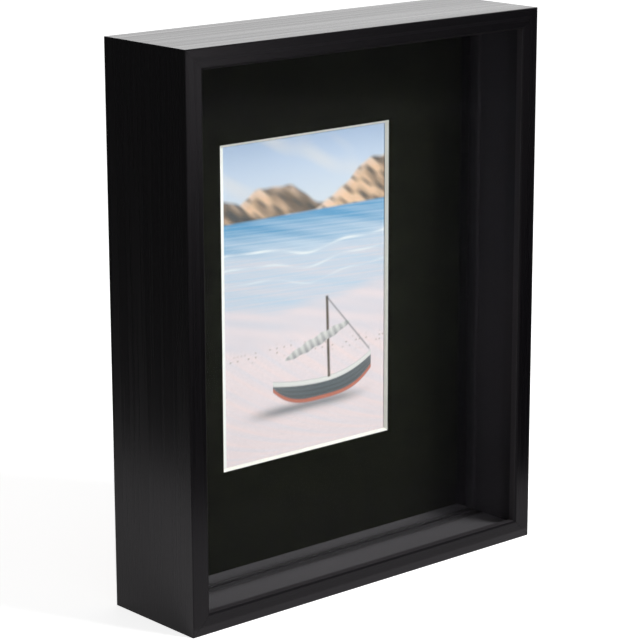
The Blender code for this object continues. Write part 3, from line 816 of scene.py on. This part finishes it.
class SHADOWBOX_OT_print(bpy.types.Operator):
    """Lay the print behind the window, with its picture worked out point by point"""

    bl_idname = "shadow_box.print"
    bl_label = "Print"

    def execute(self, context):
        sizes, colours = settings().sizes, settings().colours
        low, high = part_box("photo_print")
        columns = round((high.x - low.x) / sizes.print_dot) + 1
        rows = round((high.z - low.z) / sizes.print_dot) + 1
        x, z = np.meshgrid(np.linspace(low.x, high.x, columns), np.linspace(low.z, high.z, rows))
        # The sheet cockles by up to 0.06 mm, as paper does that hangs in a hinge.
        cockle = 0.03 * MM * (1 + waves(x, z, (9, 4, 0.5, 0.6), (4, 7, 2.0, 0.4)))
        front = np.stack([x, low.y + cockle, z], axis=-1).reshape(-1, 3)
        index = np.arange(rows * columns).reshape(rows, columns)
        rim = np.concatenate([index[0, :-1], index[:-1, -1], index[-1, :0:-1], index[:0:-1, 0]])
        back = front[rim] * (1, 0, 1) + (0, high.y, 0)
        behind = np.arange(len(rim)) + rows * columns
        edge = np.stack([rim, behind, np.roll(behind, -1), np.roll(rim, -1)], axis=1)
        faces = [grid_faces(rows, columns), edge, [behind[::-1]]]
        paper = photo_paper("satin_photo_paper")
        points = np.concatenate([front, back])
        sheet = new_piece("print_sheet", points, faces, [paper], smooth_angle=30)
        left, right, under, over = sizes.margins
        width, height = high.x - low.x - left - right, high.z - low.z - under - over
        px, pz = x - low.x - left, z - low.z - under
        picture = seaside(px, pz, width, height, colours)
        inside = (px >= 0) & (px <= width) & (pz >= 0) & (pz <= height)
        white = np.array(colours.paper)
        dyes = np.where(inside[..., None], picture, white).reshape(-1, 3)
        dyes = np.concatenate([dyes, np.broadcast_to(white, back.shape)])
        layer = sheet.data.color_attributes.new("Dyes", "FLOAT_COLOR", "POINT")
        layer.data.foreach_set("color", np.column_stack([dyes, np.ones(len(dyes))]).ravel())
        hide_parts("photo_print")
        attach(sheet, "frame")
        return {"FINISHED"}


class SHADOWBOX_OT_back(bpy.types.Operator):
    """Finish the backing card, the back board and the corner nails"""

    bl_idname = "shadow_box.back"
    bl_label = "Back"

    def execute(self, context):
        colours = settings().colours
        dress(["backing_card"], paper_board("grey_backing_card", colours.card, fleck=0.12))
        dress(["back_board"], hardboard("pressed_hardboard", colours.hardboard))
        nails = [name for name in frame["nodes"] if name.startswith("corner_nail")]
        dress(nails, zinc_plate("zinc_plated_nail", colours.zinc))
        return {"FINISHED"}


class SHADOWBOX_OT_fittings(bpy.types.Operator):
    """Build the turn buttons, rivets and ring hangers"""

    bl_idname = "shadow_box.fittings"
    bl_label = "Fittings"

    def execute(self, context):
        steel = zinc_plate("zinc_plated_steel", settings().colours.zinc)
        for node in sorted(frame["nodes"]):
            if node.startswith("turn_button"):
                piece = self.button(node, steel)
            elif "_rivet_" in node:
                piece = self.rivet(node, steel)
            elif node.startswith("hanger_ring"):
                piece = self.ring(node, steel)
            elif node.startswith("hanger_strap"):
                piece = self.strap(node, steel)
            else:
                continue
            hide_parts(node)
            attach(piece, node if node in JOINTS else "frame")
        return {"FINISHED"}

    def button(self, node, steel):
        """A stamped turn button: a flat sheet with a round tip, and a thumb tab at its tail."""
        low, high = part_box(node)
        pivot = Vector(JOINTS[node]["pos_m"])
        tail, tip = sorted((pivot.x - low.x, high.x - pivot.x))
        side = 1 if high.x - pivot.x > pivot.x - low.x else -1
        half = (high.z - low.z) / 2
        sheet = self.button_sheet(node, tip, tail, half, steel)
        tab = self.button_tab(node, tail, half, high.y - low.y - BUTTON_SHEET / 2, steel)
        piece = joined(node + "_stamping", [sheet, tab])
        place_with(piece, Matrix.Translation(pivot) @ Matrix.Diagonal((side, 1, 1, 1)))
        return piece

    def button_sheet(self, node, tip, tail, half, steel):
        """The band between the pivot hole and the outline.

        At each step round the pivot a rounded section runs from the hole out to the edge and back.
        """
        edge_radius = settings().sizes.sheet_edge
        corner = half / 2
        outline = np.concatenate(
            [
                arc((tip - half, 0), half, -90, 90, 24),
                np.linspace((tip - half, half), (corner - tail, half), 12)[1:-1],
                arc((corner - tail, half - corner), corner, 90, 180, 8),
                arc((corner - tail, corner - half), corner, 180, 270, 8),
                np.linspace((corner - tail, -half), (tip - half, -half), 12)[1:-1],
            ]
        )
        way = outline / np.linalg.norm(outline, axis=1, keepdims=True)
        hole = way * BUTTON_HOLE_RADIUS
        reach = np.linalg.norm(outline - hole, axis=1)[:, None]
        # On a section 1 m wide, what lies past the roundings' centres is the rounding alone.
        section = rounded_section(1.0, BUTTON_SHEET, edge_radius)
        outer = np.sign(section[:, 0])
        rounding = (np.abs(section[:, 0]) - (0.5 - edge_radius)) * outer
        along = np.where(outer > 0, reach, 0) + (rounding - outer * edge_radius)
        flat = hole[:, None, :] + way[:, None, :] * along[..., None]
        lift = np.broadcast_to(section[:, 1], along.shape)
        points = np.stack([flat[..., 0], lift, flat[..., 1]], axis=-1).reshape(-1, 3)
        faces = tube_faces(points, len(outline), len(section), closed=True)
        return new_piece(node + "_sheet", points, faces, [steel], smooth_angle=35)

    def button_tab(self, node, tail, half, height, steel):
        """The tab: a rounded section carried upwards, which narrows like an ellipse towards its end."""
        section = rounded_section(half, BUTTON_SHEET, settings().sizes.sheet_edge)
        narrowing = np.sqrt(1 - np.linspace(-0.75, 1, TAB_STEPS).clip(0) ** 2 * 0.25)[:, None]
        x = BUTTON_SHEET / 2 - tail + section[:, 1]
        y = np.linspace(0, height, TAB_STEPS)[:, None]
        z = section[:, 0] * narrowing
        points = np.stack(np.broadcast_arrays(x, y, z), axis=-1).reshape(-1, 3)
        faces = tube_faces(points, TAB_STEPS, len(section))
        return new_piece(node + "_tab", points, faces, [steel], smooth_angle=35)

    def rivet(self, node, steel):
        """A domed rivet: its half outline turned about the axis, with a pole at each end.

        The outline is (distance from the axis, height): an eased foot, the shank, the head's flat
        underside and a quarter of an ellipse.
        """
        low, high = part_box(node)
        steps = settings().sizes.turn_steps
        middle = (low + high) / 2
        head = (high.x - low.x) / 2
        shank, rise = RIVET_SHANK_RADIUS, RIVET_HEAD_HEIGHT
        under = high.y - low.y - rise
        stem = [(shank * 0.9, 0), (shank, 0.1 * MM), (shank, under), (head * 0.94, under)]
        dome = arc((0, 0), 1, 0, 90, 12)[:-1] * (head, rise * 0.96) + (0, under + 0.04 * rise)
        outline = np.concatenate([stem, dome])
        angle = np.linspace(0, 2 * np.pi, steps, endpoint=False)
        x = outline[:, 0, None] * np.cos(angle)
        z = outline[:, 0, None] * np.sin(angle)
        y = np.broadcast_to(outline[:, 1, None], x.shape)
        points = np.stack([x, y, z], axis=-1).reshape(-1, 3)
        points = np.concatenate([points, [(0, 0, 0), (0, under + rise, 0)]])
        foot, crown = len(points) - 2, len(points) - 1
        wall = grid_faces(len(outline), steps, wrap_columns=True)
        turned = face_outwards(points, wall)
        ring, after = np.arange(steps), np.roll(np.arange(steps), -1)
        top = (len(outline) - 1) * steps
        start = np.stack([after, ring, np.full(steps, foot)], axis=1)
        end = np.stack([ring + top, after + top, np.full(steps, crown)], axis=1)
        caps = [start, end] if np.array_equal(turned, wall) else [start[:, ::-1], end[:, ::-1]]
        faces = [turned, *caps]
        piece = new_piece(node + "_turned", points, faces, [steel], smooth_angle=30)
        place_with(piece, Matrix.Translation((middle.x, low.y, middle.z)))
        return piece

    def hanger_axes(self, node):
        """The hanger's own axes: across the ring's hinge, out of the back, and along the hinge."""
        ring = node.replace("strap", "ring")
        hinge = Vector(JOINTS[ring]["axis"])
        out = Vector((0, 1, 0))
        down = out.cross(hinge)
        low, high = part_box(ring)
        if down.dot((low + high) / 2 - Vector(JOINTS[ring]["pos_m"])) < 0:
            down = -down
        turn = Matrix((down, out, down.cross(out))).transposed().to_4x4()
        return Matrix.Translation(JOINTS[ring]["pos_m"]) @ turn

    def ring(self, node, steel):
        """A wire D: a circle carried round a closed path with one straight side on the hinge."""
        low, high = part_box(node)
        radius = (high.y - low.y) / 2
        length = max(high.x - low.x, high.z - low.z) - 2 * radius
        half, corner = RING_HALF_WIDTH, RING_CORNER
        bow = length - half
        path = np.concatenate(
            [
                np.linspace((0, half - corner), (0, corner - half), 12)[:-1],
                arc((corner, corner - half), corner, 180, 270, 6)[:-1],
                np.linspace((corner, -half), (bow, -half), 5)[:-1],
                arc((bow, 0), half, -90, 90, 30)[:-1],
                np.linspace((bow, half), (corner, half), 5)[:-1],
                arc((corner, half - corner), corner, 90, 180, 6)[:-1],
            ]
        )
        section = arc((0, 0), radius, 0, 360, settings().sizes.wire_sides)[:-1]
        wire = node + "_wire"
        piece = carried_tube(wire, path, "Y", section, steel, closed=True, smooth_angle=60)
        place_with(piece, self.hanger_axes(node))
        return piece

    def strap(self, node, steel):
        """A strip folded round the wire: a rounded flat section carried along the fold.

        The path starts at the lower leaf's end, runs to the hinge, turns round it and comes back above.
        """
        low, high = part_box(node)
        sheet = STRAP_SHEET
        outer = (high.y - low.y) / 2
        middle = outer - sheet / 2
        width, length = sorted((high.x - low.x, high.z - low.z))
        end = length - outer
        lower, upper = sheet / 2 - outer, 1.5 * sheet - outer
        meet = math.degrees(math.asin(upper / middle))
        path = np.concatenate(
            [
                np.linspace((end, lower), (0, lower), 8)[:-1],
                arc((0, 0), middle, 270, meet, 28),
                np.linspace((middle + 0.5 * MM, upper), (end, upper), 8),
            ]
        )
        # A hair thinner than the sheet, so the two leaves don't coincide where they meet.
        section = rounded_section(sheet * 0.98, width, settings().sizes.sheet_edge)
        folded = node + "_folded"
        piece = carried_tube(folded, path, "Z", section, steel, closed=False, smooth_angle=40)
        place_with(piece, self.hanger_axes(node))
        return piece


# --- the stage -----------------------------------------------------------------------------------


class SHADOWBOX_OT_stage(bpy.types.Operator):
    """Set up the floor, the lamps, the cards and the camera"""

    bl_idname = "shadow_box.stage"
    bl_label = "Stage"

    def execute(self, context):
        self.floor()
        self.world()
        stage = settings().stage
        # The front lamp lights without a mirror image of itself, as one behind a polarising sheet does.
        key = self.lamp("key_softbox", (0.50, -0.90, 1.00), target=(0, 0, 0.10), size=0.45)
        key.data.energy = stage.key
        key.visible_glossy = False
        rim = self.lamp("rim_softbox", (1.45, 1.60, 0.80), target=(0, 0, 0.26), size=1.3)
        rim.data.energy = stage.rim
        # Cards round the object, seen only in its gloss, as a photographer sets for black ware.
        self.upright_card("left_card", (-0.25, -0.15), (-0.25, 1.25), height=1.0, glow=0.07)
        self.upright_card("front_card", (0.84, -1.21), (1.65, -0.12), height=1.4, glow=0.0)
        self.upright_card("side_card", (0.10, -1.66), (0.84, -1.21), height=1.4, glow=0.0)
        self.upright_card("bright_card", (0.34, -1.48), (0.78, -1.21), height=0.25, glow=3.2)
        by_the_foot = ((-0.50, -0.03), (-0.50, -0.40), (0.24, -0.07), (0.24, -0.03))
        self.level_card("dim_card", by_the_foot, height=3 * MM, glow=0.64)
        before_it = ((-0.50, -0.37), (1.70, 0.58), (1.70, -0.65), (-0.20, -1.25))
        self.level_card("floor_card", before_it, height=4 * MM, glow=0.0)
        self.camera()
        return {"FINISHED"}

    def floor(self):
        """A white sheet of paper that fills the ground.

        Lens, glass and gloss see it paler than the lamps leave it, so it reads as white and still
        shows the object's shadow.
        """
        material, tree, place = new_material("white_background_paper")
        tooth = add(tree, "TexNoise", {"Vector": place, "Scale": 1 / (4 * MM), "Detail": 3.0})
        bump = add(tree, "Bump", {"Height": tooth, "Strength": 0.02, "Distance": 0.05 * MM})
        backdrop = opaque(settings().colours.backdrop)
        paper = add(tree, "BsdfDiffuse", {"Color": backdrop, "Normal": bump})
        path = add(tree, "LightPath").outputs
        looked_at = [path["Is Camera Ray"], path["Is Transmission Ray"]]
        seen = add(tree, "Math", looked_at, operation="ADD", use_clamp=True)
        seen = add(tree, "Math", [seen, 0.75], operation="MULTIPLY")
        seen = add(tree, "Math", [path["Is Glossy Ray"], 0.30, seen], operation="MULTIPLY_ADD")
        glow = add(tree, "Emission", {"Color": (1, 1, 1, 1), "Strength": seen})
        add(tree, "OutputMaterial", [add(tree, "AddShader", [paper, glow])])
        reach, lines = 6.0, 13
        x, y = np.meshgrid(np.linspace(-reach, reach, lines), np.linspace(-reach, reach, lines))
        points = np.stack([x, y, np.zeros_like(x)], axis=-1).reshape(-1, 3)
        new_piece("floor", points, [grid_faces(lines, lines)], [material])

    def world(self):
        """Even light from all round, and plain white where lens, gloss or glass looks past the floor."""
        world = bpy.data.worlds.new("studio")
        bpy.context.scene.world = world
        world.use_nodes = True
        tree = world.node_tree
        tree.nodes.clear()
        path = add(tree, "LightPath").outputs
        seen = add(tree, "Math", [path["Is Camera Ray"], path["Is Glossy Ray"]], operation="ADD")
        seen = add(tree, "Math", [seen, path["Is Transmission Ray"]], operation="ADD", use_clamp=True)
        soft = add(tree, "Background", {"Color": (1, 1, 1, 1), "Strength": settings().stage.sky})
        white = add(tree, "Background", {"Color": (1, 1, 1, 1), "Strength": 1.0})
        mixed = add(tree, "MixShader", [seen, soft, white])
        add(tree, "OutputWorld", [mixed]).is_active_output = True
        bpy.context.scene.view_settings.view_transform = "Standard"

    def lamp(self, name, place, target, size):
        """A square soft lamp that the lens doesn't see."""
        data = bpy.data.lights.new(name, "AREA")
        data.shape = "SQUARE"
        data.size = size
        lamp = bpy.data.objects.new(name, data)
        bpy.context.scene.collection.objects.link(lamp)
        lamp.location = place
        lamp.rotation_euler = (Vector(target) - Vector(place)).to_track_quat("-Z", "Y").to_euler()
        lamp.visible_camera = False
        return lamp

    def upright_card(self, name, start, end, height, glow):
        """A card that stands on the floor along the line from start to end."""
        self.card(name, [(*start, 0), (*end, 0), (*end, height), (*start, height)], glow)

    def level_card(self, name, corners, height, glow):
        """A card that lies just over the floor."""
        self.card(name, [(*corner, height) for corner in corners], glow)

    def card(self, name, corners, glow):
        """A flat card with an even glow, seen in gloss and nowhere else."""
        material, tree, _ = new_material(name + "_board")
        light = add(tree, "Emission", {"Color": (1, 1, 1, 1), "Strength": glow})
        add(tree, "OutputMaterial", [light])
        card = new_piece(name, np.array(corners), [[(0, 1, 2, 3)]], [material])
        card.visible_camera = False
        card.visible_diffuse = False
        card.visible_transmission = False
        card.visible_shadow = False

    def camera(self):
        """The camera where the photo was taken from, turned by yaw, pitch and roll."""
        stage = settings().stage
        data = bpy.data.cameras.new("camera")
        data.lens = stage.lens / MM
        data.sensor_width = 36
        data.clip_start = 0.01
        camera = bpy.data.objects.new("camera", data)
        bpy.context.scene.collection.objects.link(camera)
        level = math.cos(stage.pitch)
        ahead = Vector(
            (math.sin(stage.yaw) * level, math.cos(stage.yaw) * level, -math.sin(stage.pitch))
        )
        aim = ahead.to_track_quat("-Z", "Y").to_matrix().to_4x4()
        camera.location = stage.camera_at
        camera.rotation_mode = "QUATERNION"
        camera.rotation_quaternion = (aim @ Matrix.Rotation(stage.roll, 4, "Z")).to_quaternion()
        bpy.context.scene.camera = camera


# --- the add-on ----------------------------------------------------------------------------------


class ShadowBoxSettings(bpy.types.PropertyGroup):
    """All the settings, kept on the scene."""

    sizes: PointerProperty(type=ShadowBoxSizes, name="Sizes", description="Sizes of the finer pieces")
    colours: PointerProperty(type=ShadowBoxColours, name="Colours", description="Finish and print colours")
    stage: PointerProperty(type=ShadowBoxStage, name="Stage", description="Camera and lamps")


OPERATORS = (
    SHADOWBOX_OT_rails,
    SHADOWBOX_OT_strips,
    SHADOWBOX_OT_glass,
    SHADOWBOX_OT_mount,
    SHADOWBOX_OT_print,
    SHADOWBOX_OT_back,
    SHADOWBOX_OT_fittings,
    SHADOWBOX_OT_stage,
)


class SHADOWBOX_PT_panel(bpy.types.Panel):
    """Lists the settings and the steps"""

    bl_label = "Shadow Box"
    bl_idname = "SHADOWBOX_PT_panel"
    bl_space_type = "VIEW_3D"
    bl_region_type = "UI"
    bl_category = "Shadow Box"

    def draw(self, context):
        for group in (settings().sizes, settings().colours, settings().stage):
            box = self.layout.box()
            for name in type(group).__annotations__:
                box.prop(group, name)
        for operator in OPERATORS:
            self.layout.operator(operator.bl_idname)


GROUPS = (ShadowBoxSizes, ShadowBoxColours, ShadowBoxStage, ShadowBoxSettings)
CLASSES = (*GROUPS, *OPERATORS, SHADOWBOX_PT_panel)


def register():
    for cls in CLASSES:
        bpy.utils.register_class(cls)
    bpy.types.Scene.shadow_box = PointerProperty(type=ShadowBoxSettings)


def unregister():
    del bpy.types.Scene.shadow_box
    for cls in reversed(CLASSES):
        bpy.utils.unregister_class(cls)


def main():
    register()
    for operator in OPERATORS:
        group, name = operator.bl_idname.split(".")
        getattr(getattr(bpy.ops, group), name)()


if __name__ == "__main__":
    main()
